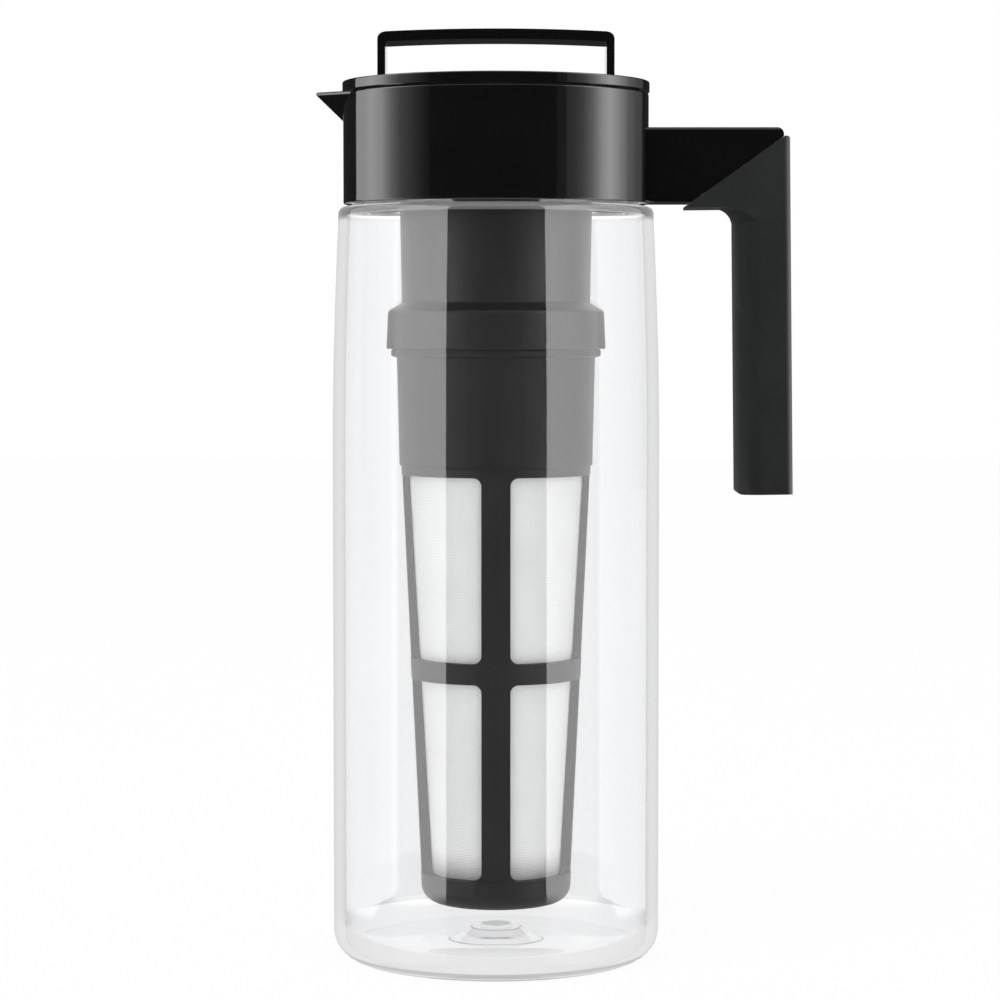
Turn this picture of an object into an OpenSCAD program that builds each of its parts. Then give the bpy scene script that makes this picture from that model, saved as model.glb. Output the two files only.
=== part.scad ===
// Cold brew pitcher: a clear jug with a black collar that carries the spout and the handle,
// a quarter-turn lid with a bail, and a mesh filter that screws into the lid's hollow stem.
// Millimetres. The origin is on the jug's axis at the foot, +Z up, the handle towards +X.

/* [Jug] */
// Outer radius of the jug's straight wall
jug_r = 52; // [51:0.25:54]
// Height of the jug's shoulder above the foot
jug_h = 239.7; // [220:1:260]
// Wall thickness of the jug
jug_wall = 2.6; // [2:0.1:3]
// Radius of the rounded corner between wall and foot
corner_r = 9; // [6:0.5:12]
// How far the wall draws in towards the shoulder
wall_draw = 1.9; // [0:0.1:2.4]

/* [Collar] */
// Outer radius of the collar
collar_r = 48.5; // [48.4:0.1:49.4]
// Height of the collar
collar_h = 34.8; // [34:0.1:41]
// How far the beak of the spout stands out from the jug's axis
spout_reach = 57.1; // [54:0.1:62]

/* [Handle] */
// Distance from the jug's axis to the outer face of the grip
grip_reach = 92.7; // [90:0.1:100]
// Length of the grip below the arm
grip_drop = 91.7; // [70:0.1:110]
// Thickness of the grip, from its round inner side to its flat outer side
grip_depth = 17.5; // [16:0.1:20]
// Width of the grip across the hand
grip_width = 27; // [24:0.5:32]
// Lean of the grip away from the jug, in degrees
grip_lean = 0.7; // [0:0.1:1.5]

/* [Lid] */
// Height of the cap's rim
cap_h = 3.3; // [2:0.1:4]
// Height of the bail above the cap's dish
bail_h = 17.2; // [14:0.1:26]
// Span of the bail across the lid
bail_span = 74.6; // [60:0.2:80]
// Width of the bail's strap
bail_w = 20; // [12:0.5:24]
// Rise of the bail's arch at the middle
bail_rise = 1; // [0.5:0.1:2]

/* [Filter] */
// Height of the filter's underside above the jug's foot
filter_z = 17.8; // [17.3:0.1:30]
// Outer radius of the filter just above its rounded bottom
filter_foot_r = 24.05; // [20:0.05:24.1]
// Widening of the filter's wall, in millimetres of radius per millimetre of height
filter_taper = 0.0466; // [0.04:0.0002:0.048]
// Width of the filter's ribs
rib_w = 9; // [6:0.5:12]

/* [Hidden] */
$fn = 96;
// Overlap that joins two shapes of one piece, and the air left between two pieces
bite = 0.4;
gap = 0.05;

// Jug: foot, floor and shoulder
foot_width = 4;
foot_lift = 1.2;
floor_z = 4.8;
inner_corner_r = 8;
button_r = 15.3;
button_top_r = 6.2;
button_z = 10;
shoulder_r = 2.4;
shoulder_z = jug_h - shoulder_r;
draw_z = 0.67 * jug_h;

// Neck of the jug, which the collar snaps over
neck_r = 45.4;
neck_bore_r = 43.2;
neck_z = jug_h + 19.6;
bead_z = jug_h + 12.3;
bead_out = 0.7;

// Collar: the lower socket takes the neck, the upper bore takes the lid
collar_z = jug_h + 0.8;
collar_top = collar_z + collar_h;
socket_r = neck_r + 0.35;
seat_z = neck_z + 1.5;
seat_top = seat_z + 2.5;
bore_r = 45.6;

// Bayonet: ledges of the collar, and the lugs of the lid that turn under them
lug_count = 3;
lug_angle = 24;
ledge_angle = 30;
lock_turn = 90;
lug_z = seat_top + 0.5;
lug_h = 2.3;
lug_r = bore_r - 0.4;
ledge_r = 43.9;
ledge_z = lug_z + lug_h + 0.5;
ledge_h = 2.4;
stop_angle = 2.4;

// Spout: a wedge-shaped beak with an open trough
beak_z = collar_top + 0.05;
beak_rise = 0.6;
beak_root = [-44.2, 17.6];
beak_keel = [-46.5, collar_top - 9.6];
beak_round = 0.6;
trough_wall = 1.1;
pour_z = ledge_z + ledge_h + 0.8;

// Handle: glossy arm, mitred against the soft grip, and the tang inside the grip
arm_w = grip_width - 1;
arm_z = [collar_z + 0.4, collar_z + 23.8];
arm_end = grip_reach - 2.3;
mitre_top = [grip_reach - 2.3, arm_z[1] - 2.9];
mitre_foot = [60.3, arm_z[0] - 0.85];
grip_top = arm_z[1] - 2.7;
grip_foot = collar_z - grip_drop;
crook_z = arm_z[0] - 1.4;
crook_r = 5.6;
grip_in = grip_reach - grip_depth;
palm_r = 8;
grip_edge_r = 2.2;
grip_wall = 3;

// Lid
cap_r = collar_r + 0.25;
cap_z = collar_top + 0.5;
cap_top = cap_z + cap_h;
dish_z = cap_top - 1;
bail_t = 3.2;
bail_leg_t = 2.5;
bail_top = dish_z + bail_h;
tenon = [bail_leg_t, 12, 2.4];
plug_z = jug_h + 7.8;
plug_r = 42.4;
plug_upper_r = 43;
plug_bore_r = 39.4;
plug_upper_bore_r = 40.6;
plug_floor = 2;
strainer_slots = 18;
seal_z = plug_z + 3.5;
seal_h = 4;
seal_depth = 1.2;
port_z = [pour_z + 0.5, cap_z - 0.9];
port_w = 20;
sleeve_r = 42.2;

// Stem of the lid, flared into a skirt with the thread for the filter
stem_top_r = 30.7;
stem_r = 30;
stem_wall = 2.3;
skirt_z = jug_h - 45;
skirt_h = 12.1;
skirt_r = 34.9;
skirt_bore_r = 32.4;
spigot_r = 28.8;
spigot_h = 3.6;

// Thread between stem and filter, right-handed
thread_starts = 3;
thread_lead = 12;
thread_sweep = 90;
thread_foot = 2.2;
thread_crest = 1;
female_crest_r = 31.2;
male_crest_r = 32.1;
female_z = skirt_z + 1.6;
male_z = female_z + thread_lead / thread_starts / 2;

// Filter: threaded neck, flange, plain upper wall and windowed cone
washer_t = 0.4;
flange_z = skirt_z - washer_t - 2 * gap;
flange_h = 1.9;
flange_r = 33.4;
filter_neck_r = 30.9;
filter_neck_bore_r = 28.2;
filter_neck_h = 11;
filter_wall = [3.3, 2.15];
filter_corner_r = 5.6;
filter_floor = 2.2;
upper_r = [30.8, 31.6];
upper_z = skirt_z - 37.2;
band_h = 2.8;
window_top = upper_z - band_h;
window_foot = filter_z + 9.6;
window_mid = window_foot + 0.516 * (window_top - window_foot);
window_bar = 6.5;
window_round = 2.6;
rib_set_back = 0.15;
mesh_t = 0.35;

// Points along an arc about c, from angle a0 to a1
function arc(c, r, a0, a1, n = 8) =
    [for (i = [0:n]) let (a = a0 + (a1 - a0) * i / n) [c[0] + r * cos(a), c[1] + r * sin(a)]];

// Outer radius of the jug's wall at height z
function jug_out(z) = jug_r - wall_draw * pow(max(0, z - draw_z) / (shoulder_z - draw_z), 2);

// Outer radius of the filter's cone at height z
function cone_r(z) = filter_foot_r + (z - filter_z - 7.5) * filter_taper;

// Inner radius of the filter's cone at height z: its wall thins from the first to the second thickness
function lining_r(z) = cone_r(z) - filter_wall[0]
    + (filter_wall[0] - filter_wall[1]) * (z - window_foot) / (window_top - window_foot);

// Sector of a ring with a rectangular section, centred on angle a
module ring_sector(r_in, r_out, z, h, a, sweep) {
    rotate([0, 0, a - sweep / 2])
        rotate_extrude(angle = sweep)
            translate([r_in, z]) square([r_out - r_in, h]);
}

module ring(r_in, r_out, z, h) {
    rotate_extrude() translate([r_in, z]) square([r_out - r_in, h]);
}

// Prism of an outline in the XZ plane, centred on Y
module side_prism(width) {
    rotate([90, 0, 0]) linear_extrude(height = width, center = true) children();
}

// Helical ridge of trapezoid section, from radius r_root to r_crest, that starts at height z
module thread_ridge(r_root, r_crest, z) {
    n = 18;
    section = [[r_root, -thread_foot / 2], [r_crest, -thread_crest / 2],
               [r_crest, thread_crest / 2], [r_root, thread_foot / 2]];
    points = [for (i = [0:n], p = section)
        let (a = thread_sweep * i / n)
        [p[0] * cos(a), p[0] * sin(a), z + thread_lead * a / 360 + p[1]]];
    sides = [for (i = [0:n - 1], k = [0:3])
        let (a = 4 * i + k, b = 4 * i + (k + 1) % 4)
        each [[a, b, a + 4], [b, b + 4, a + 4]]];
    ends = [[0, 2, 1], [0, 3, 2], [4 * n, 4 * n + 1, 4 * n + 2], [4 * n, 4 * n + 2, 4 * n + 3]];
    outward = r_crest > r_root;
    faces = [for (f = concat(sides, ends)) outward ? f : [f[0], f[2], f[1]]];
    polyhedron(points, faces);
}

// All the ridges of one side of the thread
module thread(r_root, r_crest, z) {
    for (i = [0:thread_starts - 1])
        rotate([0, 0, 360 * i / thread_starts]) thread_ridge(r_root, r_crest, z);
}

// Clear jug: rounded foot with a raised button in the floor, drawn-in shoulder and snap neck
module pitcher_body() {
    foot_r = jug_r - corner_r;
    foot_in = foot_r - foot_width;
    inner_r = jug_out(shoulder_z) - jug_wall;
    inner_shoulder_r = inner_r - neck_bore_r;
    inner_shoulder_z = jug_h - jug_wall - inner_shoulder_r;
    steps = 8;
    underside = [[0, floor_z + foot_lift], [button_top_r - 1, floor_z + foot_lift],
                 [button_r - 3.5, foot_lift], [foot_in - 1, foot_lift], [foot_in, 0]];
    outside = concat(
        arc([foot_r, corner_r], corner_r, -90, 0),
        [for (i = [0:steps]) let (z = draw_z + (shoulder_z - draw_z) * i / steps) [jug_out(z), z]],
        arc([jug_out(shoulder_z) - shoulder_r, shoulder_z], shoulder_r, 10, 90));
    neck = [[neck_r, jug_h], [neck_r, bead_z - 1.2], [neck_r + bead_out, bead_z - 0.5],
            [neck_r + bead_out, bead_z + 0.5], [neck_r, bead_z + 1.2],
            [neck_r, neck_z], [neck_bore_r, neck_z]];
    inside = concat(
        arc([neck_bore_r, inner_shoulder_z], inner_shoulder_r, 90, 0),
        [for (i = [steps:-1:0])
            let (z = draw_z + (inner_shoulder_z - draw_z) * i / steps) [jug_out(z) - jug_wall, z]],
        arc([jug_r - jug_wall - inner_corner_r, floor_z + inner_corner_r], inner_corner_r, 0, -90));
    button = [[button_r, floor_z], [button_top_r + 2, button_z - 1.6],
              [button_top_r, button_z], [0, button_z]];
    color("aliceblue", 0.3)
        rotate_extrude() polygon(concat(underside, outside, neck, inside, button));
}

// Beak of the spout, shrunk by inset and lifted open at the top when it is the trough
module beak(inset, lift) {
    top = beak_z + lift;
    hull() {
        for (side = [-1, 1])
            translate([beak_root[0], side * (beak_root[1] - 1.6 * inset), top - beak_round])
                sphere(beak_round, $fn = 24);
        translate([-spout_reach + 1.5 * inset + beak_round, 0, top + beak_rise - beak_round])
            sphere(beak_round, $fn = 24);
        translate([beak_keel[0] + inset, 0, beak_keel[1] + 1.2 * inset]) sphere(beak_round, $fn = 24);
    }
}

// Tang of the handle: the arm's own plastic, carried on down inside the grip
module tang(grow) {
    inner = grip_in + grip_wall - grow;
    outer = grip_reach - grip_wall + 0.4 + grow;
    root = mitre_foot[0] + 5 - grow;
    under = crook_z + 2.4 - grow;
    foot = grip_foot + grip_wall + 1 - grow;
    lean = tan(grip_lean) * (crook_z - foot);
    side_prism(grip_width - 2 * grip_wall + 2 * grow)
        polygon([[root, under], [inner, under], [inner + lean, foot], [outer + lean, foot],
                 [outer, mitre_top[1] - 3 + grow], [root, mitre_foot[1] + 9 + grow]]);
}

// Outline of the glossy arm as seen from the side, cut off along the mitre
module arm_outline() {
    nose_r = 2.2;
    difference() {
        union() {
            translate([collar_r - 2, arm_z[0]])
                square([arm_end - nose_r - collar_r + 2, arm_z[1] - arm_z[0]]);
            translate([collar_r - 2, arm_z[0]])
                square([arm_end - collar_r + 2, arm_z[1] - nose_r - arm_z[0]]);
            translate([arm_end - nose_r, arm_z[1] - nose_r]) circle(nose_r);
        }
        mitre_cut(0);
    }
}

// Glossy arm with rounded long edges, from the collar's wall to the mitre
module arm() {
    edge = 1.1;
    half = arm_w / 2 - edge;
    intersection() {
        side_prism(2 * arm_w) arm_outline();
        rotate([90, 0, 90]) linear_extrude(height = 2 * arm_end) union() {
            translate([-half, arm_z[0]]) square([2 * half, arm_z[1] - arm_z[0]]);
            translate([-arm_w / 2, arm_z[0] + edge]) square([arm_w, arm_z[1] - arm_z[0] - 2 * edge]);
            for (y = [-half, half], z = [arm_z[0] + edge, arm_z[1] - edge])
                translate([y, z]) circle(edge);
        }
    }
}

// Everything below the mitre line, moved down by drop
module mitre_cut(drop) {
    run = mitre_top - mitre_foot;
    past = mitre_top + run;
    before = mitre_foot - run;
    polygon([before - [0, drop], past - [0, drop], [past[0], before[1] - 60], [before[0], before[1] - 60]]);
}

// Collar: snap socket, lid bore, bayonet ledges, spout, and the arm and tang of the handle
module collar() {
    edge = 0.6;
    outside = concat([[socket_r, collar_z]],
                     arc([collar_r - edge, collar_z + edge], edge, -90, 0, 5),
                     arc([collar_r - edge, collar_top - edge], edge, 0, 90, 5));
    inside = [[bore_r, collar_top], [bore_r, seat_top], [neck_bore_r + gap, seat_top],
              [neck_bore_r + gap, seat_z], [socket_r, seat_z],
              [socket_r, bead_z + 1.7], [socket_r + bead_out, bead_z + 0.8],
              [socket_r + bead_out, bead_z - 0.8], [socket_r, bead_z - 1.7]];
    color([0.02, 0.02, 0.022]) difference() {
        union() {
            rotate_extrude() polygon(concat(outside, inside));
            difference() {
                beak(0, 0);
                cylinder(r = bore_r + bite, h = 2 * collar_top);
            }
            for (i = [0:lug_count - 1]) {
                a = 360 * i / lug_count;
                ring_sector(ledge_r, bore_r + bite, ledge_z, ledge_h, a, ledge_angle);
                ring_sector(ledge_r, bore_r + bite, seat_top - bite, ledge_z - seat_top + 2 * bite,
                            a - lug_angle / 2 - 0.3 - stop_angle / 2, stop_angle);
            }
            arm();
            tang(0);
        }
        beak(trough_wall, 3);
    }
}

// Silicone ring squeezed between the neck's rim and the collar's seat
module neck_seal() {
    color("gainsboro") ring(neck_bore_r + 0.3, neck_r - 0.1, neck_z, seat_z - neck_z);
}

// Cross-section of the grip: flat outside, round towards the fingers
module grip_section() {
    half = grip_width / 2;
    palm = grip_in + palm_r;
    side = half - grip_edge_r;
    union() {
        translate([palm, -half]) square([grip_reach - grip_edge_r - palm, 2 * half]);
        translate([grip_in, palm_r - half]) square([grip_depth, 2 * (half - palm_r)]);
        translate([palm, -side]) square([grip_reach - palm, 2 * side]);
        for (s = [-1, 1]) {
            translate([palm, s * (half - palm_r)]) circle(palm_r);
            translate([grip_reach - grip_edge_r, s * side]) circle(grip_edge_r);
        }
    }
}

// Section of the crook's fillet, from the grip's surface outwards, set a little into both faces
module crook_section() {
    sunk = 0.05;
    root = 2;
    difference() {
        translate([-root, crook_z - crook_r]) square([crook_r + root, crook_r + bite]);
        translate([crook_r - sunk, crook_z - crook_r + sunk]) circle(crook_r);
    }
}

// Fillet from the grip's round inner side to the underside of its head
module crook() {
    half = grip_width / 2;
    flat = half - palm_r;
    intersection() {
        union() {
            translate([grip_in, 0, 0]) mirror([1, 0, 0]) side_prism(2 * flat) crook_section();
            for (s = [-1, 1])
                translate([grip_in + palm_r, s * flat, 0]) rotate([0, 0, 135 - 45 * s])
                    rotate_extrude(angle = 90) translate([palm_r, 0]) crook_section();
        }
        translate([0, -half, 0]) cube([grip_reach, 2 * half, 2 * crook_z]);
    }
}

// Cross-section of the grip's head: flat outside, square towards the jug
module head_section() {
    half = grip_width / 2;
    side = half - grip_edge_r;
    union() {
        translate([mitre_foot[0], -half])
            square([grip_reach - grip_edge_r - mitre_foot[0], 2 * half]);
        translate([mitre_foot[0], -side])
            square([grip_reach - mitre_foot[0], 2 * side]);
        for (s = [-1, 1])
            translate([grip_reach - grip_edge_r, s * side]) circle(grip_edge_r);
    }
}

// Tips the grip out at its foot, about its outer face at the crook
module leaning() {
    translate([grip_reach, 0, crook_z]) rotate([0, -grip_lean, 0])
        translate([-grip_reach, 0, -crook_z]) children();
}

// Soft grip: a D-shaped shaft under a mitred head, pulled over the tang
module grip_sleeve() {
    foot_r = 1.6;
    top_r = 1.2;
    color([0.035, 0.04, 0.04]) difference() {
        leaning() union() {
            translate([0, 0, crook_z]) linear_extrude(height = grip_top - crook_z) head_section();
            intersection() {
                translate([0, 0, grip_foot])
                    linear_extrude(height = crook_z - grip_foot) grip_section();
                side_prism(2 * grip_width) union() {
                    translate([grip_in - 1, grip_foot + foot_r])
                        square([grip_depth + 2, crook_z - grip_foot]);
                    translate([grip_in + foot_r, grip_foot - 1]) square([grip_depth, 2 * foot_r]);
                    translate([grip_in + foot_r, grip_foot + foot_r]) circle(foot_r);
                }
            }
            crook();
        }
        side_prism(2 * grip_width) difference() {
            translate([mitre_foot[0] - 20, mitre_foot[1] - 10]) square([80, 80]);
            mitre_cut(gap);
        }
        leaning() side_prism(2 * grip_width) translate([grip_reach - top_r, grip_top - top_r]) difference() {
            square(2 * top_r);
            translate([gap, gap]) circle(top_r);
        }
        tang(gap);
    }
}

// Cap of the lid: a shallow dish with a raised rim, slotted for the bail's feet
module lid_cap() {
    edge = 0.5;
    rim_w = 1.8;
    outline = concat([[0, cap_z], [cap_r - 0.2, cap_z], [cap_r, cap_z + 0.2]],
                     arc([cap_r - edge, cap_top - edge], edge, 0, 90, 5),
                     [[cap_r - rim_w, cap_top], [cap_r - rim_w - 1, dish_z], [0, dish_z]]);
    color([0.02, 0.02, 0.022]) difference() {
        rotate_extrude() polygon(outline);
        for (s = [-1, 1])
            translate([s * (bail_span - bail_leg_t) / 2, 0, cap_z])
                cube([tenon[0] + 2 * gap, tenon[1] + 2 * gap, 4 * cap_h], center = true);
    }
}

// Bail: an arched strap on two legs, whose tenons are fixed in the cap
module lid_bail() {
    corner = 2.3;
    half = bail_span / 2;
    arch_r = (half * half + bail_rise * bail_rise) / (2 * bail_rise);
    color([0.02, 0.02, 0.022]) {
        side_prism(bail_w) difference() {
            intersection() {
                union() {
                    translate([-half, dish_z])
                        square([bail_span, bail_h - bail_rise - corner]);
                    translate([-half + corner, dish_z]) square([bail_span - 2 * corner, bail_h]);
                    for (s = [-1, 1])
                        translate([s * (half - corner), bail_top - bail_rise - corner]) circle(corner);
                }
                translate([0, bail_top - arch_r]) circle(arch_r, $fn = 360);
            }
            intersection() {
                translate([-half + bail_leg_t, dish_z - 1])
                    square([bail_span - 2 * bail_leg_t, bail_h]);
                translate([0, bail_top - bail_t - arch_r]) circle(arch_r, $fn = 360);
            }
        }
        for (s = [-1, 1])
            translate([s * (half - bail_leg_t / 2) - tenon[0] / 2, -tenon[1] / 2, dish_z - tenon[2]])
                cube(tenon + [0, 0, bite]);
    }
}

// Plug of the lid: a cup with a strainer floor, seal grooves, bayonet lugs and the pour port
module lid_plug() {
    shelf_z = port_z[0] - 0.5;
    outline = [[spigot_r + gap, plug_z], [plug_r, plug_z],
               [plug_r, seal_z], [plug_r - seal_depth, seal_z],
               [plug_r - seal_depth, seal_z + seal_h], [plug_r, seal_z + seal_h],
               [plug_r, seat_top - 1], [plug_upper_r, seat_top],
               [plug_upper_r, shelf_z], [sleeve_r, shelf_z], [sleeve_r, cap_z],
               [plug_upper_bore_r, cap_z], [plug_upper_bore_r, seat_top],
               [plug_bore_r, seat_top - 1], [plug_bore_r, plug_z + plug_floor],
               [spigot_r + gap, plug_z + plug_floor]];
    slot_r = [33, 37.4];
    slot_w = 2.6;
    color([0.06, 0.06, 0.065]) difference() {
        union() {
            rotate_extrude() polygon(outline);
            for (i = [0:lug_count - 1])
                ring_sector(plug_upper_r - bite, lug_r, lug_z, lug_h,
                            lock_turn + 360 * i / lug_count, lug_angle);
        }
        translate([-plug_upper_r - 1, -port_w / 2, port_z[0]])
            cube([6, port_w, port_z[1] - port_z[0]]);
        for (i = [0:strainer_slots - 1]) rotate([0, 0, 360 * i / strainer_slots]) {
            translate([slot_r[0], -slot_w / 2, plug_z - 1])
                cube([slot_r[1] - slot_r[0], slot_w, plug_floor + 2]);
            for (r = slot_r) translate([r, 0, plug_z - 1])
                cylinder(d = slot_w, h = plug_floor + 2, $fn = 24);
        }
    }
}

// Stem of the lid: a closed tube that flares into the threaded skirt
module lid_stem() {
    skirt_top = skirt_z + skirt_h;
    flare = 2.1;
    outline = concat(
        [[0, plug_z + spigot_h], [spigot_r - 1, plug_z + spigot_h], [spigot_r, plug_z + spigot_h - 1],
         [spigot_r, plug_z], [stem_top_r, plug_z], [stem_r, skirt_top + flare + 0.6]],
        arc([stem_r + 0.8, skirt_top + flare + 0.8], 0.8, 180, 240, 3),
        arc([skirt_r - 1.7, skirt_top - 0.9], 1.2, 60, 0, 4),
        [[skirt_r, skirt_z + 0.3], [skirt_r - 0.3, skirt_z],
         [skirt_bore_r, skirt_z], [skirt_bore_r, skirt_top - 1.2],
         [stem_r - stem_wall, skirt_top + flare + 0.4],
         [stem_top_r - stem_wall, plug_z - 1], [stem_top_r - stem_wall - 1, plug_z + spigot_h - 2.2],
         [0, plug_z + spigot_h - 2.2]]);
    color([0.06, 0.06, 0.065]) union() {
        rotate_extrude() polygon(outline);
        thread(skirt_bore_r + bite, female_crest_r, female_z);
    }
}

// Silicone sleeve round the plug, with a window that meets the spout in the pouring position
module port_seal() {
    color("dimgray") difference() {
        ring(sleeve_r + gap, bore_r - 0.2, port_z[0] - 0.5 + gap, cap_z - port_z[0] + 0.5 - 2 * gap);
        translate([-bore_r - 1, -port_w / 2, port_z[0]]) cube([6, port_w, port_z[1] - port_z[0]]);
    }
}

// Silicone ring in the plug's groove, wiping the neck's bore
module lid_seal() {
    inner = plug_r - seal_depth + gap;
    outer = neck_bore_r - gap;
    lip = 0.5;
    color("dimgray") rotate_extrude()
        polygon([[inner, seal_z + gap], [outer - lip, seal_z + gap], [outer, seal_z + gap + lip],
                 [outer, seal_z + 1.4], [outer - lip, seal_z + 2], [outer, seal_z + 2.6],
                 [outer, seal_z + seal_h - gap - lip], [outer - lip, seal_z + seal_h - gap],
                 [inner, seal_z + seal_h - gap]]);
}

// Thin silicone washer between the stem's skirt and the filter's flange
module filter_washer() {
    color("dimgray") ring(filter_neck_r + 0.1, flange_r - 0.3, flange_z + gap, washer_t);
}

// Opening in one quarter of the filter's wall, rounded at its corners beside both ribs
module window_cut(z0, z1) {
    intersection_for (turn = [0, 1]) {
        mirror([turn, -turn, 0]) translate([0, rib_w / 2, 0]) rotate([90, 0, 180]) mirror([1, 0, 0])
            linear_extrude(height = 40) union() {
                translate([rib_w / 2 + window_round, z0]) square([40, z1 - z0]);
                translate([rib_w / 2, z0 + window_round]) square([40, z1 - z0 - 2 * window_round]);
                for (z = [z0 + window_round, z1 - window_round])
                    translate([rib_w / 2 + window_round, z]) circle(window_round);
            }
    }
}

// Filter frame: threaded neck, flange, and a cone of four ribs between rings
module filter_frame() {
    foot_r = cone_r(filter_z + filter_corner_r);
    tiers = [[window_foot, window_mid - window_bar / 2], [window_mid + window_bar / 2, window_top]];
    outer_cone = [for (t = tiers) each [[cone_r(t[0]), t[0]], [cone_r(t[0]) - rib_set_back, t[0]],
                                        [cone_r(t[1]) - rib_set_back, t[1]], [cone_r(t[1]), t[1]]]];
    outside = concat(
        [[0, filter_z]],
        arc([foot_r - filter_corner_r, filter_z + filter_corner_r], filter_corner_r, -90, 0),
        outer_cone,
        [[cone_r(upper_z), upper_z], [upper_r[0], upper_z + 0.4],
         [upper_r[1], flange_z - flange_h - 0.4], [flange_r - 0.4, flange_z - flange_h],
         [flange_r, flange_z - flange_h + 0.4], [flange_r, flange_z], [filter_neck_r, flange_z],
         [filter_neck_r, flange_z + filter_neck_h]]);
    inside = [[filter_neck_bore_r, flange_z + filter_neck_h], [filter_neck_bore_r, upper_z + 4],
              [lining_r(upper_z), upper_z], [lining_r(filter_z + 7), filter_z + 7],
              [foot_r - filter_wall[0] - 3, filter_z + filter_floor], [0, filter_z + filter_floor]];
    color([0.08, 0.08, 0.085]) union() {
        difference() {
            rotate_extrude() polygon(concat(outside, inside));
            for (t = tiers, i = [0:3]) rotate([0, 0, 90 * i]) window_cut(t[0], t[1]);
        }
        thread(filter_neck_r - bite, male_crest_r, male_z);
    }
}

// Fine woven screen, a conical sleeve against the inside of the ribs
module filter_mesh() {
    z0 = filter_z + 7.2;
    z1 = upper_z + 1.8;
    function lining(z) = lining_r(min(z, upper_z)) - gap;
    color("whitesmoke", 0.8) rotate_extrude()
        polygon([[lining(z0), z0], [lining(upper_z), upper_z], [lining(z1), z1],
                 [lining(z1) - mesh_t, z1], [lining(upper_z) - mesh_t, upper_z], [lining(z0) - mesh_t, z0]]);
}

pitcher_body();
collar();
neck_seal();
grip_sleeve();
lid_cap();
lid_bail();
lid_plug();
lid_stem();
port_seal();
lid_seal();
filter_washer();
filter_frame();
filter_mesh();
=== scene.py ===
import math

import bmesh
import bpy
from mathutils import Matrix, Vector


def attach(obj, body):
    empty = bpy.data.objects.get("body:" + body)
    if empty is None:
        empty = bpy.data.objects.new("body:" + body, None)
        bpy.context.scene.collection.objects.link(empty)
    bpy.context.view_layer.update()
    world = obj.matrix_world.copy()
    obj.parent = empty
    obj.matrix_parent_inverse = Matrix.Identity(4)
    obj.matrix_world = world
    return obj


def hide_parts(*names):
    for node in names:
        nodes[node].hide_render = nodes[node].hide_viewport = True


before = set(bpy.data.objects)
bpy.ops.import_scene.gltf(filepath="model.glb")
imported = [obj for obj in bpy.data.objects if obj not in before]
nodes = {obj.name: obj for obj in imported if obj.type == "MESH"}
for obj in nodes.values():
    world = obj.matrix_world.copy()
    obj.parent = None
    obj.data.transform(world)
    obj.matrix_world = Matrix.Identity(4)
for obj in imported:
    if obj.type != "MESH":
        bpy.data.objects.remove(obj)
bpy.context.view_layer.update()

scene = bpy.context.scene
scene.view_settings.view_transform = "Standard"
mm = 0.001

# The camera stands level with the jug's shoulder, a metre away, and looks a little down.
# It has a long lens, so the jug's sides stay parallel.
LENS = 117
SENSOR = 36
EYE = Vector((1.28, -1037.2, 201.1)) * mm
LOOK_DOWN = 3.018
camera = bpy.data.objects.new("camera", bpy.data.cameras.new("camera"))
camera.data.lens = LENS
camera.data.sensor_width = SENSOR
camera.data.clip_start = 0.05
camera.location = EYE
camera.rotation_euler = (math.radians(90 - LOOK_DOWN), 0, 0)
scene.collection.objects.link(camera)
scene.camera = camera


# The jug is one clear copolyester moulding, thick in the wall, with a rounded foot, a stepped button
# in its floor, a drawn-in shoulder and a plain neck with a bead that the collar snaps over.
# The mould's parting line runs round the foot. Clear plastic needs many bounces to stay bright.
JUG_TURNS = 220
JUG_R = 52.0
JUG_WALL = 2.6
JUG_H = 239.7
DRAW_FROM = 160.6
SHOULDER_Z = 237.3
WALL_DRAW = 1.9
DRAW_STEPS = 16
INNER_TOP = 236.0
FLOOR_Z = 4.8
FOOT_FILLET = 9.0
NECK_R = 45.4
BORE_R = 43.2
BEAD_R = 46.1
NECK_TOP = 259.3
INNER_SHOULDER_Z = 238.2
CLEAR_BOUNCES = 80
scene.cycles.max_bounces = CLEAR_BOUNCES
scene.cycles.diffuse_bounces = 10
scene.cycles.glossy_bounces = CLEAR_BOUNCES
scene.cycles.transmission_bounces = CLEAR_BOUNCES
scene.cycles.transparent_max_bounces = 16


def rounded(corners, steps=7):
    """Outline through (radius, height, fillet) corners in millimetres, each fillet as an arc."""
    points = []
    for i, (r, z, fillet) in enumerate(corners):
        here = Vector((r, z))
        if not fillet or i in (0, len(corners) - 1):
            points.append(here)
            continue
        back = (Vector(corners[i - 1][:2]) - here).normalized()
        on = (Vector(corners[i + 1][:2]) - here).normalized()
        half = back.angle(on) / 2
        reach = fillet / math.tan(half)
        middle = here + (back + on).normalized() * (fillet / math.sin(half))
        first = here + back * reach - middle
        sweep = (here + on * reach - middle).angle_signed(first)
        for k in range(steps + 1):
            a = sweep * k / steps
            turned = (first.x * math.cos(a) - first.y * math.sin(a),
                      first.x * math.sin(a) + first.y * math.cos(a))
            points.append(middle + Vector(turned))
    return points


def spaced(points, most):
    """The same outline with points no further apart than most, so that shading stays even."""
    fine = [points[0]]
    for a, b in zip(points, points[1:]):
        n = max(1, math.ceil((b - a).length / most))
        fine += [a.lerp(b, k / n) for k in range(1, n + 1)]
    return fine


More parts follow.
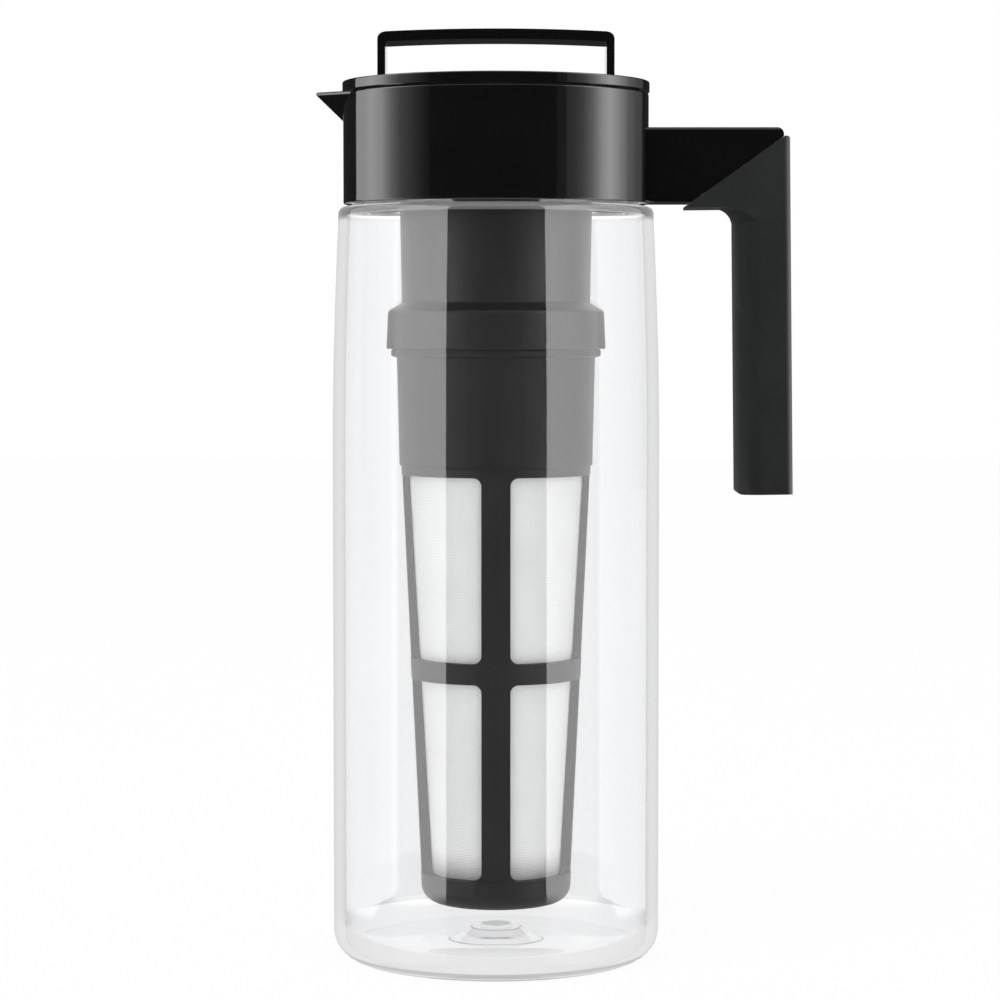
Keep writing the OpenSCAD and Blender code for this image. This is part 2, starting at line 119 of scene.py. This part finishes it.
def turned_on_axis(bm, points, turns):
    """Surface of revolution of an outline about the jug's axis."""
    rings = []
    for r, z in points:
        around = turns if r > 1e-6 else 1
        rings.append([bm.verts.new((r * mm * math.cos(2 * math.pi * k / turns),
                                    r * mm * math.sin(2 * math.pi * k / turns), z * mm))
                      for k in range(around)])
    for low, high in zip(rings, rings[1:]):
        for k in range(turns):
            n = (k + 1) % turns
            corners = [low[k % len(low)], low[n % len(low)], high[n % len(high)], high[k % len(high)]]
            bm.faces.new(list(dict.fromkeys(corners)))
    bmesh.ops.recalc_face_normals(bm, faces=bm.faces)


def piece_of(bm, name, smooth=True):
    """New piece of the scene from a bmesh, smooth shaded."""
    mesh = bpy.data.meshes.new(name)
    bm.to_mesh(mesh)
    bm.free()
    for face in mesh.polygons:
        face.use_smooth = smooth
    piece = bpy.data.objects.new(name, mesh)
    scene.collection.objects.link(piece)
    return piece


def wall_r(z):
    """Outer radius of the wall, which draws in towards the shoulder."""
    return JUG_R - WALL_DRAW * (max(0.0, z - DRAW_FROM) / (SHOULDER_Z - DRAW_FROM)) ** 2


draw_reach = SHOULDER_Z - 2.5 - DRAW_FROM
drawn_wall = [DRAW_FROM + draw_reach * k / DRAW_STEPS for k in range(DRAW_STEPS + 1)]
underside = [(0, 5.9, 0), (7.6, 5.9, 0.3), (15.5, 1.2, 0.5), (36.5, 1.2, 5.0), (41.0, 0, 3.5),
             (JUG_R, 0, FOOT_FILLET)]
outer_wall = [(wall_r(z), z, 0) for z in drawn_wall]
shoulder_and_neck = [(wall_r(SHOULDER_Z), JUG_H, 2.2), (NECK_R, JUG_H, 0.3), (NECK_R, 250.8, 0.2),
                     (BEAD_R, 251.5, 0.3), (BEAD_R, 252.5, 0.3), (NECK_R, 253.2, 0.2),
                     (NECK_R, NECK_TOP, 0.6), (BORE_R, NECK_TOP, 0.6), (BORE_R, INNER_SHOULDER_Z, 0),
                     (47.6, INNER_SHOULDER_Z, 1.6)]
inner_wall = [(wall_r(z) - JUG_WALL, z, 0) for z in reversed(drawn_wall) if z < INNER_TOP]
floor_and_button = [(JUG_R - JUG_WALL, FLOOR_Z, FOOT_FILLET - 1.0), (15.2, 4.9, 0.15), (8.0, 9.4, 0.25),
                    (5.6, 9.5, 0.1), (5.2, 10.3, 0.2), (0, 10.3, 0)]
jug_outline = rounded(underside + outer_wall + shoulder_and_neck + inner_wall + floor_and_button, steps=10)
jug_bm = bmesh.new()
turned_on_axis(jug_bm, spaced(jug_outline, 2.5), JUG_TURNS)
jug = piece_of(jug_bm, "clear_jug")


def moulded_grain():
    """Node group: the fine grain and the broad tone of a moulded surface, by place on the piece."""
    group = bpy.data.node_groups.new("moulded_grain", "ShaderNodeTree")
    for name, kind in (("Place", "Vector"), ("Grain scale", "Float"), ("Patch scale", "Float")):
        group.interface.new_socket(name, in_out="INPUT", socket_type="NodeSocket" + kind)
    for name in ("Grain", "Patch"):
        group.interface.new_socket(name, in_out="OUTPUT", socket_type="NodeSocketFloat")
    made, link = group.nodes, group.links.new
    ins = made.new("NodeGroupInput").outputs
    outs = made.new("NodeGroupOutput").inputs
    grain = made.new("ShaderNodeTexNoise")
    grain.inputs["Detail"].default_value = 3
    link(ins["Place"], grain.inputs["Vector"])
    link(ins["Grain scale"], grain.inputs["Scale"])
    link(grain.outputs["Fac"], outs["Grain"])
    patch = made.new("ShaderNodeTexNoise")
    patch.inputs["Detail"].default_value = 4
    patch.inputs["Roughness"].default_value = 0.6
    link(ins["Place"], patch.inputs["Vector"])
    link(ins["Patch scale"], patch.inputs["Scale"])
    spread = made.new("ShaderNodeMapRange")
    spread.inputs["From Min"].default_value = 0.34
    spread.inputs["From Max"].default_value = 0.66
    link(patch.outputs["Fac"], spread.inputs["Value"])
    link(spread.outputs["Result"], outs["Patch"])
    return group


GRAIN = moulded_grain()


def moulded(name, tones, roughness, grain_scale, grain_depth, patch_scale):
    """Material of a moulded piece: two close tones, a roughness range and a fine grain."""
    material = bpy.data.materials.new(name)
    material.use_nodes = True
    made, link = material.node_tree.nodes, material.node_tree.links.new
    shader = made["Principled BSDF"]
    place = made.new("ShaderNodeTexCoord")
    grain = made.new("ShaderNodeGroup")
    grain.node_tree = GRAIN
    grain.inputs["Grain scale"].default_value = grain_scale
    grain.inputs["Patch scale"].default_value = patch_scale
    link(place.outputs["Object"], grain.inputs["Place"])
    tone = made.new("ShaderNodeMix")
    tone.data_type = "RGBA"
    for socket in tone.inputs:
        if socket.type == "RGBA":
            socket.default_value = (*tones["AB".index(socket.name)], 1)
    link(grain.outputs["Patch"], tone.inputs["Factor"])
    link(next(s for s in tone.outputs if s.type == "RGBA"), shader.inputs["Base Color"])
    matt = made.new("ShaderNodeMapRange")
    matt.inputs["To Min"].default_value = roughness[0]
    matt.inputs["To Max"].default_value = roughness[1]
    link(grain.outputs["Patch"], matt.inputs["Value"])
    link(matt.outputs["Result"], shader.inputs["Roughness"])
    bump = made.new("ShaderNodeBump")
    bump.inputs["Distance"].default_value = grain_depth
    link(grain.outputs["Grain"], bump.inputs["Height"])
    link(bump.outputs["Normal"], shader.inputs["Normal"])
    return material, shader


def math_node(tree, kind, a, b=None):
    """Math node with links or plain numbers for its inputs."""
    node = tree.nodes.new("ShaderNodeMath")
    node.operation = kind
    for socket, value in zip(node.inputs, (a, b)):
        if value is None:
            continue
        if isinstance(value, (int, float)):
            socket.default_value = value
        else:
            tree.links.new(value, socket)
    return node.outputs["Value"]


def eased(tree, value, span, levels):
    """Level that eases from the first to the second as value crosses the span."""
    node = tree.nodes.new("ShaderNodeMapRange")
    node.interpolation_type = "SMOOTHSTEP"
    for name, number in zip(("From Min", "From Max", "To Min", "To Max"), (*span, *levels)):
        node.inputs[name].default_value = number
    tree.links.new(value, node.inputs["Value"])
    return node.outputs["Result"]


def band(tree, value, rise, fall):
    """1 between two edges of a value and 0 outside them, each edge as a span in millimetres."""
    after = eased(tree, value, [edge * mm for edge in rise], (0.0, 1.0))
    before = eased(tree, value, [edge * mm for edge in fall], (1.0, 0.0))
    return math_node(tree, "MULTIPLY", after, before)


def from_axis(tree, place):
    """Distance from the jug's axis of a place that is split into X, Y and Z."""
    squares = [math_node(tree, "POWER", place.outputs[axis], 2) for axis in ("X", "Y")]
    return math_node(tree, "SQRT", math_node(tree, "ADD", *squares))


def tinted(tree, colour, mask, tint):
    """The colour, multiplied by the tint where the mask is 1."""
    node = tree.nodes.new("ShaderNodeMix")
    node.data_type = "RGBA"
    node.blend_type = "MULTIPLY"
    factor, first, second = node.inputs[0], node.inputs[6], node.inputs[7]
    second.default_value = (*tint, 1)
    tree.links.new(mask, factor)
    tree.links.new(colour, first)
    return node.outputs[2]


CLEAR_IOR = 1.5
# Grey tints of the painted shade on the parting line and on the button's edges and top
PARTING_SHADE_TINT = (0.45, 0.45, 0.44)
BUTTON_SHADE_TINT = (0.25, 0.25, 0.24)
FOOT_GLOW = 0.84
SHOULDER_GLOW = 0.16
TABLE_GLOW = 0.09
clear_plastic, shader = moulded("clear_plastic", ((0.955, 0.962, 0.966), (0.972, 0.977, 0.98)),
                                (0.0, 0.012), 30, 0.000003, 9)
shader.inputs["Transmission Weight"].default_value = 1
shader.inputs["IOR"].default_value = CLEAR_IOR
tree = clear_plastic.node_tree
made, link = tree.nodes, tree.links.new
place = made.new("ShaderNodeSeparateXYZ")
link(made["Texture Coordinate"].outputs["Object"], place.inputs["Vector"])
height = place.outputs["Z"]
radius = from_axis(tree, place)
facing = made.new("ShaderNodeNewGeometry")
path = made.new("ShaderNodeLightPath")

# Painted shade: the parting line, the button's edges and a spot in the middle of its top are darkened grey,
# on the outside only, for the dark lines that these sharp edges catch
line = band(tree, height, (1.4, 1.8), (3.0, 3.5))
base_edge = math_node(tree, "MULTIPLY", band(tree, radius, (14.7, 14.95), (15.3, 15.5)),
                      eased(tree, height, (4.2 * mm, 4.6 * mm), (0.0, 1.0)))
top_edge = band(tree, radius, (7.5, 7.75), (8.1, 8.3))
gate = eased(tree, radius, (4.4 * mm, 5.2 * mm), (1.0, 0.0))
on_top = math_node(tree, "MULTIPLY", math_node(tree, "MAXIMUM", top_edge, gate),
                   eased(tree, height, (8.7 * mm, 9.0 * mm), (0.0, 1.0)))
button_shade_marks = math_node(tree, "MAXIMUM", base_edge, on_top)
outside = math_node(tree, "SUBTRACT", 1.0, facing.outputs["Backfacing"])
colour = shader.inputs["Base Color"].links[0].from_socket
for mask, tint in ((line, PARTING_SHADE_TINT), (button_shade_marks, BUTTON_SHADE_TINT)):
    colour = tinted(tree, colour, math_node(tree, "MULTIPLY", mask, outside), tint)
link(colour, shader.inputs["Base Color"])

# Painted glow: where a ray has bounced inside the thick foot and shoulder, the plastic glows evenly,
# standing in for light caught between their faces, and the floor and the button's slope glow faintly,
# standing in for the pale table shining up through them. The glow is emission, not a lamp
in_foot = eased(tree, height, (10.5 * mm, 14 * mm), (1.0, 0.0))
in_shoulder = eased(tree, height, (235.0 * mm, 237.2 * mm), (0.0, 1.0))
thick = math_node(tree, "MAXIMUM", in_foot, in_shoulder)
in_floor = math_node(tree, "MULTIPLY", band(tree, radius, (8.4, 9.2), (43, 48)),
                     eased(tree, height, (5.6 * mm, 6.2 * mm), (1.0, 0.0)))
from_inside = math_node(tree, "GREATER_THAN", path.outputs["Transmission Depth"], 2.5)
table = math_node(tree, "MULTIPLY", in_floor, from_inside)
bounced = math_node(tree, "MINIMUM", path.outputs["Glossy Depth"], 1.0)
painted_glow_share = math_node(tree, "MAXIMUM", math_node(tree, "MULTIPLY", bounced, thick), table)
painted_glow_share = math_node(tree, "MULTIPLY", painted_glow_share, facing.outputs["Backfacing"])
even_glow = eased(tree, height, (100 * mm, 200 * mm), (FOOT_GLOW, SHOULDER_GLOW))
straight = math_node(tree, "MULTIPLY", table, math_node(tree, "SUBTRACT", 1.0, bounced))
table_glow = math_node(tree, "MULTIPLY", straight, TABLE_GLOW)
glow = made.new("ShaderNodeEmission")
link(math_node(tree, "ADD", even_glow, table_glow), glow.inputs["Strength"])
share = made.new("ShaderNodeMixShader")
link(painted_glow_share, share.inputs["Fac"])
link(shader.outputs["BSDF"], share.inputs[1])
link(glow.outputs["Emission"], share.inputs[2])
link(share.outputs["Shader"], made["Material Output"].inputs["Surface"])
jug.data.materials.append(clear_plastic)
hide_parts("pitcher_body")
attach(jug, "jug")


def dress(material, *names):
    """Gives a CAD node's slots this material."""
    for name in names:
        for held in nodes[name].material_slots:
            held.material = material


# A flat ring of clear silicone lies on the neck's rim and is squeezed under the collar's seat.
# It is moulded in one piece and shows only when the collar is off.
clear_silicone, shader = moulded("clear_silicone", ((0.60, 0.61, 0.60), (0.68, 0.69, 0.68)),
                                 (0.42, 0.55), 900, 0.00002, 60)
shader.inputs["Subsurface Weight"].default_value = 0.15
shader.inputs["Subsurface Radius"].default_value = (0.002, 0.002, 0.002)
dress(clear_silicone, "neck_seal")

# The collar is a gloss black moulding that snaps over the neck. It carries the spout's beak, the
# bayonet's ledges, the handle's arm and, inside the grip, the tang.
gloss_black, shader = moulded("gloss_black", ((0.0026, 0.0027, 0.0028), (0.0034, 0.0035, 0.0036)),
                              (0.05, 0.075), 500, 0.000002, 30)
dress(gloss_black, "collar")


# The grip is a soft-touch rubber sleeve, pulled over the tang and mitred against the glossy arm.
# Its outer face is flat, its inner side is round for the fingers, and its moulded edges are soft.
def softened(node, name, width, sharp=35):
    """New piece with a node's shape whose hard edges are rounded over by width."""
    source = nodes[node].data
    bm = bmesh.new()
    corners = [bm.verts.new(v.co) for v in source.vertices]
    for face in source.polygons:
        bm.faces.new([corners[k] for k in face.vertices])
    bmesh.ops.remove_doubles(bm, verts=bm.verts, dist=2e-6)
    bmesh.ops.dissolve_limit(bm, angle_limit=math.radians(0.4), verts=bm.verts, edges=bm.edges)
    hard = {e for e in bm.edges if e.is_manifold and e.calc_face_angle(0) > math.radians(sharp)}
    for face in bm.faces:
        sides = [e.calc_length() for e in face.edges]
        ridges = sum(e in hard and e.calc_length() > 8 * width for e in face.edges)
        if ridges > 1 and face.calc_area() / max(sides) < 2.2 * width:
            hard -= set(face.edges)
    bmesh.ops.bevel(bm, geom=list(hard), offset=width, offset_type="OFFSET", segments=4, profile=0.5,
                    affect="EDGES", clamp_overlap=True, harden_normals=False)
    piece = piece_of(bm, name)
    even = piece.modifiers.new("even_shading", "WEIGHTED_NORMAL")
    even.mode = "FACE_AREA"
    even.keep_sharp = True
    return piece


SOFT_EDGE = 0.5 * mm
grip = softened("grip_sleeve", "grip", SOFT_EDGE)
soft_touch, shader = moulded("soft_touch", ((0.0100, 0.0118, 0.0114), (0.0132, 0.0152, 0.0147)),
                             (0.5, 0.6), 2600, 0.00004, 22)
shader.inputs["Sheen Weight"].default_value = 0.08
shader.inputs["Sheen Roughness"].default_value = 0.5
grip.data.materials.append(soft_touch)
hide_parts("grip_sleeve")
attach(grip, "jug")

# The lid's plug and its hollow stem are satin black mouldings. The plug's floor is a strainer with
# the stem's spigot welded in its middle, and the stem's skirt has the thread for the filter.
satin_black, shader = moulded("satin_black", ((0.0045, 0.0045, 0.0047), (0.0060, 0.0060, 0.0062)),
                              (0.38, 0.46), 1500, 0.00002, 40)
shader.inputs["Specular IOR Level"].default_value = 0.4
dress(satin_black, "lid_plug", "lid_stem")

# Two grey silicone seals, the sleeve round the pour port and the lipped ring in the plug's groove,
# and a thin washer of black silicone that the filter screws down on.
grey_silicone, shader = moulded("grey_silicone", ((0.105, 0.107, 0.11), (0.13, 0.132, 0.136)),
                                (0.45, 0.6), 1200, 0.00002, 70)
dress(grey_silicone, "port_seal", "lid_seal")
black_silicone, shader = moulded("black_silicone", ((0.0028, 0.0028, 0.0029), (0.0038, 0.0038, 0.0040)),
                                 (0.5, 0.6), 1200, 0.00002, 70)
shader.inputs["Specular IOR Level"].default_value = 0.2
dress(black_silicone, "filter_washer")

# The cap is a gloss black disc with a shallow dish, and the bail is an arched strap whose tenons
# are fixed in the cap's slots. The bail's edges are rounded over, so that it is kind to the hand.
dress(gloss_black, "lid_cap")
bail = softened("lid_bail", "bail", SOFT_EDGE)
bail.data.materials.append(gloss_black)
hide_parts("lid_bail")
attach(bail, "lid")

# The filter's frame is a satin black moulding: a threaded neck, a flange, a plain upper wall, and
# four ribs with rings round the windows.
filter_black, shader = moulded("filter_black", ((0.0042, 0.0042, 0.0044), (0.0056, 0.0056, 0.0058)),
                               (0.48, 0.56), 1500, 0.00002, 40)
shader.inputs["Specular IOR Level"].default_value = 0.35
dress(filter_black, "filter_frame")

# The screen is fine white nylon gauze, welded into a cone and moulded in behind the ribs. It is
# It is partly open, so the far side of the frame shows through faintly, and its white is darkened towards
# its foot as painted shade.
SCREEN_FOOT = Vector((20.49, 25.0))
SCREEN_STEP = Vector((27.86, 157.5))
SCREEN_TOP = Vector((27.86, 159.3))
screen_bm = bmesh.new()
turned_on_axis(screen_bm, spaced([SCREEN_FOOT, SCREEN_STEP, SCREEN_TOP], 2.2), 160)
screen = piece_of(screen_bm, "screen")
THREAD_PITCH = 0.5 * mm
MEAN_R = 24.1 * mm
FAR_SIDE_CLOSED = 0.85
FOOT_SHADE_TINT = (0.5, 0.49, 0.48)
gauze = bpy.data.materials.new("nylon_gauze")
gauze.use_nodes = True
tree = gauze.node_tree
made, link = tree.nodes, tree.links.new
shader = made["Principled BSDF"]
shader.inputs["Roughness"].default_value = 0.6
place = made.new("ShaderNodeTexCoord")
axes = made.new("ShaderNodeSeparateXYZ")
link(place.outputs["Object"], axes.inputs["Vector"])
turn = math_node(tree, "ARCTAN2", axes.outputs["Y"], axes.outputs["X"])
along = math_node(tree, "MULTIPLY", turn, MEAN_R / THREAD_PITCH * math.pi)
across = math_node(tree, "MULTIPLY", axes.outputs["Z"], math.pi / THREAD_PITCH)
between_warp = math_node(tree, "ABSOLUTE", math_node(tree, "SINE", along))
between_weft = math_node(tree, "ABSOLUTE", math_node(tree, "SINE", across))
warp = math_node(tree, "SUBTRACT", 1, between_warp)
weft = math_node(tree, "SUBTRACT", 1, between_weft)
thread = math_node(tree, "MAXIMUM", warp, weft)
yarn = made.new("ShaderNodeMapRange")
yarn.inputs["From Min"].default_value = 0.06
yarn.inputs["From Max"].default_value = 0.20
link(thread, yarn.inputs["Value"])
facing = made.new("ShaderNodeNewGeometry")
behind = math_node(tree, "MULTIPLY", facing.outputs["Backfacing"], FAR_SIDE_CLOSED)
front = math_node(tree, "SUBTRACT", 1.0, facing.outputs["Backfacing"])
closed = math_node(tree, "ADD", math_node(tree, "MULTIPLY", yarn.outputs["Result"], front), behind)
link(closed, shader.inputs["Alpha"])
tone = made.new("ShaderNodeTexNoise")
tone.inputs["Scale"].default_value = 70
tone.inputs["Detail"].default_value = 3
link(place.outputs["Object"], tone.inputs["Vector"])
white = made.new("ShaderNodeValToRGB")
white.color_ramp.elements[0].position = 0.35
white.color_ramp.elements[0].color = (0.90, 0.90, 0.89, 1)
white.color_ramp.elements[1].position = 0.65
white.color_ramp.elements[1].color = (0.94, 0.94, 0.935, 1)
link(tone.outputs["Fac"], white.inputs["Fac"])
# Painted shade: the gauze's colour darkens towards its foot, where the frame's cup shades it
near_foot = eased(tree, axes.outputs["Z"], (26 * mm, 37 * mm), (1.0, 0.0))
link(tinted(tree, white.outputs["Color"], near_foot, FOOT_SHADE_TINT), shader.inputs["Base Color"])
bump = made.new("ShaderNodeBump")
bump.inputs["Distance"].default_value = 0.00006
link(thread, bump.inputs["Height"])
link(bump.outputs["Normal"], shader.inputs["Normal"])
screen.data.materials.append(gauze)
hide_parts("filter_mesh")
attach(screen, "filter")

# The object stands on a plain pale floor that runs out of sight, in a white studio.
# The floor keeps a faint contact shadow, and gloss and clear plastic show the studio in its place.
FLOOR_REACH = 4
WHITE_SHARE = 0.965
floor_bm = bmesh.new()
bmesh.ops.create_grid(floor_bm, x_segments=1, y_segments=1, size=FLOOR_REACH)
floor = piece_of(floor_bm, "floor", smooth=False)
floor.visible_glossy = False
floor.visible_transmission = False
paper = bpy.data.materials.new("white_paper")
paper.use_nodes = True
tree = paper.node_tree
made, link = tree.nodes, tree.links.new
made.remove(made["Principled BSDF"])
path = made.new("ShaderNodeLightPath")
matt_white = made.new("ShaderNodeBsdfDiffuse")
matt_white.inputs["Color"].default_value = (0.92, 0.92, 0.92, 1)
glow = made.new("ShaderNodeEmission")
share = made.new("ShaderNodeMixShader")
link(math_node(tree, "MULTIPLY", path.outputs["Is Camera Ray"], WHITE_SHARE), share.inputs["Fac"])
link(matt_white.outputs["BSDF"], share.inputs[1])
link(glow.outputs["Emission"], share.inputs[2])
link(share.outputs["Shader"], made["Material Output"].inputs["Surface"])
floor.data.materials.append(paper)

# The white studio, by what a ray has met: the camera sees white, soft light falls on everything,
# the black gloss sees dark walls under a light ceiling, and the clear jug a slightly dimmer white
# whose brightness goes by the heading of the ray that leaves the jug.
world = bpy.data.worlds.new("studio")
scene.world = world
world.use_nodes = True
tree = world.node_tree
made, link = tree.nodes, tree.links.new
SOFT_LIGHT = 0.75
path = made.new("ShaderNodeLightPath")
compass = made.new("ShaderNodeTexCoord")
heading = made.new("ShaderNodeSeparateXYZ")
link(compass.outputs["Generated"], heading.inputs["Vector"])


def chosen(tree, mask, level, otherwise):
    """One level where the mask is 1, and the other where it is 0."""
    node = tree.nodes.new("ShaderNodeMix")
    tree.links.new(mask, node.inputs[0])
    for socket, value in ((node.inputs[2], otherwise), (node.inputs[3], level)):
        if isinstance(value, (int, float)):
            socket.default_value = value
        else:
            tree.links.new(value, socket)
    return node.outputs[0]


right, ahead, up = (heading.outputs[axis] for axis in ("X", "Y", "Z"))
faces_passed = path.outputs["Transmission Depth"]

# What the black gloss mirrors
ceiling = eased(tree, up, (0.45, 0.75), (0.03, 1.1))
back_wall = eased(tree, ahead, (0.985, 0.997), (0.0, 1.0))
above = eased(tree, up, (-0.02, 0.02), (0.0, 1.0))
in_gloss = math_node(tree, "MAXIMUM", ceiling, math_node(tree, "MULTIPLY", back_wall, above))

# What shows straight through the jug: dimmer behind the screen, brighter under the filter
CAMERA_SKEW = 0.0009
THROUGH_FLOOR = 1.12
BACK_CORNER = 0.955
off_axis = math_node(tree, "ABSOLUTE", math_node(tree, "SUBTRACT", right, CAMERA_SKEW))
beside = eased(tree, off_axis, (0.064, 0.072), (0.66, 0.88))
steep_down = eased(tree, up, (-0.33, -0.30), (1.0, 0.0))
upward = eased(tree, up, (0.04, 0.06), (0.0, 1.0))
through = chosen(tree, upward, THROUGH_FLOOR, chosen(tree, steep_down, BACK_CORNER, beside))

# What the satin pieces in the jug mirror back out of it, and the light that they scatter
REAR_SHEEN = 1.5
sheen = eased(tree, ahead, (-0.95, -0.5), (0.04, 2.5))
sheen = chosen(tree, eased(tree, ahead, (-0.4, 0.1), (0.0, 1.0)), REAR_SHEEN, sheen)
scatter = eased(tree, ahead, (-0.95, -0.35), (2.2, 0.9))
mirrored = math_node(tree, "MINIMUM", path.outputs["Glossy Depth"], 1.0)
scattered = math_node(tree, "MINIMUM", path.outputs["Diffuse Depth"], 1.0)
four_faces = math_node(tree, "COMPARE", faces_passed, 4.0)
sent_back = math_node(tree, "MULTIPLY", four_faces, eased(tree, ahead, (0.1, 0.5), (1.0, 0.0)))
in_jug = chosen(tree, math_node(tree, "MULTIPLY", mirrored, sent_back), sheen, through)

# What the inner face of the front wall mirrors
two_faces = math_node(tree, "COMPARE", faces_passed, 2.0)
in_wall = math_node(tree, "MULTIPLY", mirrored, two_faces)
in_jug = chosen(tree, in_wall, eased(tree, ahead, (0.68, 0.85), (0.25, 0.81)), in_jug)
in_jug = chosen(tree, scattered, scatter, in_jug)
level = chosen(tree, path.outputs["Is Glossy Ray"], in_gloss, SOFT_LIGHT)
level = chosen(tree, path.outputs["Is Transmission Ray"], in_jug, level)
level = chosen(tree, path.outputs["Is Camera Ray"], 1.0, level)
link(level, made["Background"].inputs["Strength"])
made["Background"].inputs["Color"].default_value = (1, 1, 1, 1)


def area_light(name, place, towards, size, radiance, seen_by=None, shaded_by=None):
    """Rectangular soft light that faces a point. It lights, and is shaded by, all or only some pieces."""
    data = bpy.data.lights.new(name, "AREA")
    data.shape = "RECTANGLE"
    data.size, data.size_y = size
    data.energy = radiance * math.pi * size[0] * size[1]
    lamp = bpy.data.objects.new(name, data)
    lamp.location = place
    lamp.rotation_euler = (Vector(towards) - Vector(place)).to_track_quat("-Z", "Y").to_euler()
    lamp.visible_camera = False
    lamp.visible_transmission = False
    scene.collection.objects.link(lamp)
    for role, pieces in (("receiver_collection", seen_by), ("blocker_collection", shaded_by)):
        if pieces:
            linked = bpy.data.collections.new(f"{name}_{role}")
            for piece in pieces:
                linked.objects.link(piece)
            setattr(lamp.light_linking, role, linked)
    return lamp


PANEL_X = 0.9
PANEL_Z = 0.2
PANEL_H = 2.4
FILTER_FOOT_Z = 0.023


def side_panel(name, side, front, back, radiance, stops, seen_by, shaded_by=None, lowest=None):
    """Tall panel beside the object, graded by stops from back to front.

    Below the lowest slopes, seen from the filter's foot, it is faint. Its back part ends a little lower.
    """
    middle = (front + back) / 2
    panel = area_light(name, (side * PANEL_X, middle, PANEL_Z), (0, middle, PANEL_Z),
                       (back - front, PANEL_H), radiance, seen_by, shaded_by)
    panel.data.use_nodes = True
    tree = panel.data.node_tree
    made, link = tree.nodes, tree.links.new
    spot = made.new("ShaderNodeNewGeometry")
    axes = made.new("ShaderNodeSeparateXYZ")
    ramp = made.new("ShaderNodeValToRGB")
    link(spot.outputs["Parametric"], axes.inputs["Vector"])
    link(axes.outputs["X"], ramp.inputs["Fac"])
    if side > 0:
        stops = [(1 - at, strength) for at, strength in reversed(stops)]
    while len(ramp.color_ramp.elements) < len(stops):
        ramp.color_ramp.elements.new(0.5)
    for element, (at, strength) in zip(ramp.color_ramp.elements, stops):
        element.position = at
        element.color = (strength, strength, strength, 1)
    strength = ramp.outputs["Color"]
    if lowest:
        place = made.new("ShaderNodeSeparateXYZ")
        link(spot.outputs["Position"], place.inputs["Vector"])
        drop = math_node(tree, "SUBTRACT", place.outputs["Z"], FILTER_FOOT_Z)
        slope = math_node(tree, "DIVIDE", drop, from_axis(tree, place))
        slope = math_node(tree, "ADD", slope, eased(tree, place.outputs["Y"], (-0.1, 0.1), (0.0, 0.012)))
        strength = math_node(tree, "MULTIPLY", strength, eased(tree, slope, lowest, (0.12, 1.0)))
    link(strength, made["Emission"].inputs["Strength"])


key = area_light("key", (-0.5, -0.9, 1.5), (0, 0, 0.1), (1.2, 1.2), 2.2)
key.visible_glossy = False

# Tall panels on both sides make the veil on the jug's wall, and a dim one behind each its edge
VEIL_STOPS = [(0, 0.30), (0.117, 0.35), (0.211, 0.42), (0.371, 0.53), (0.464, 0.59), (0.513, 1.0), (1, 1.0)]
VEIL_LOWEST = (-0.172, -0.165)
END_Y = 4.9
END_Z = -1.0
END_SIZE = (8.2, 8.0)
for name, side, front in (("left_jug_panel", -1, -1.32), ("right_jug_panel", 1, -1.29)):
    side_panel(name, side, front, 0.76, 5.5, VEIL_STOPS, [jug], [jug], VEIL_LOWEST)
    area_light(name + "_end", (side * PANEL_X, END_Y, END_Z), (0, END_Y, END_Z), END_SIZE, 0.6, [jug], [jug])

# Graded soft boxes on both sides make the bands on the black gloss
black_pieces = [nodes["collar"], nodes["lid_cap"], bail, grip]
side_panel("left_soft_box", -1, -0.769, 0.688, 4.8,
           [(0, 0.40), (0.068, 0.43), (0.196, 0.58), (0.279, 0.78), (0.335, 0.885), (0.4485, 0.84),
            (0.55, 0.43), (0.647, 0.20), (0.746, 0.13), (0.855, 0.064), (0.951, 0.021), (1, 0.02)],
           black_pieces)
side_panel("right_soft_box", 1, -0.894, 1.15, 5.4,
           [(0.024, 0.032), (0.212, 0.068), (0.351, 0.172), (0.444, 0.47), (0.5015, 0.765), (0.546, 1.0),
            (0.609, 0.828), (0.678, 0.404), (0.7485, 0.183), (0.825, 0.098), (0.894, 0.08), (0.896, 0.023),
            (1, 0.023)],
           black_pieces)

# The collar and the grip aren't mirrored in the pieces beside them, which stay plain
for piece in (nodes["collar"], grip):
    piece.visible_glossy = False
